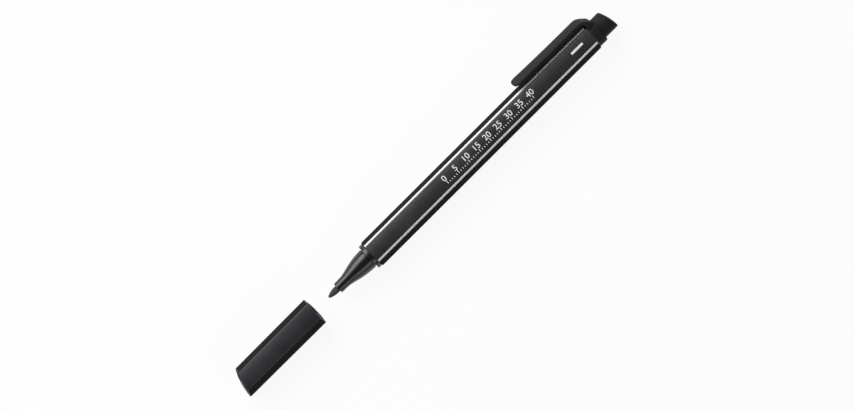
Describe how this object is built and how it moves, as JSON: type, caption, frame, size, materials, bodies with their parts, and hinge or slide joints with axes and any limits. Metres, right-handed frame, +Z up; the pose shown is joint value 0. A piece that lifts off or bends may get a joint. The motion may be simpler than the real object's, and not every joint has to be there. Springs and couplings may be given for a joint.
{
  "type": "felt-tip pen",
  "caption": "Slim felt-tip pen with a six-sided barrel, a swept nib section, a spring clip and a pull-off cap lying in line in front of the nib.",
  "frame": {"origin": "middle of the barrel's resting face, on the surface that the pen lies on", "axes": "+X along the pen from the nib to the clip end, +Z up out of the face opposite the resting face, +Y towards the clip's side"},
  "size_m": [0.1745, 0.0135, 0.0114],
  "materials": {
    "barrel": "satin, almost black, with two white printed lines",
    "nib_section": "glossy black",
    "nib": "bonded fibre soaked with dark ink",
    "ink_reservoir": "polyester fibre soaked with ink",
    "reservoir_wrap": "thin wrapped film",
    "rear_plug": "fine matt texture, black",
    "cap": "satin, almost black",
    "cap_seal": "smooth, black"
  },
  "bodies": {
    "pen_body": {"barrel": "barrel", "nib_section": "nib_section", "nib": "nib", "ink_reservoir": "ink_reservoir", "reservoir_wrap": "reservoir_wrap", "rear_plug": "rear_plug"},
    "clip": {"clip_arm": "rear_plug"},
    "cap": {"cap": "cap", "cap_seal": "cap_seal"}
  },
  "joints": [
    {"name": "cap_slide", "type": "slide", "parent": "pen_body", "child": "cap", "axis": [1, 0, 0], "range_m": [0, 0.02513]},
    {"name": "clip_flex", "type": "hinge", "parent": "pen_body", "child": "clip", "pos_m": [0.0497, 0.00656, 0.00877], "axis": [0, 0.5, -0.866], "range_deg": [0, 4], "stiffness_Nm_per_rad": 0.4}
  ]
}
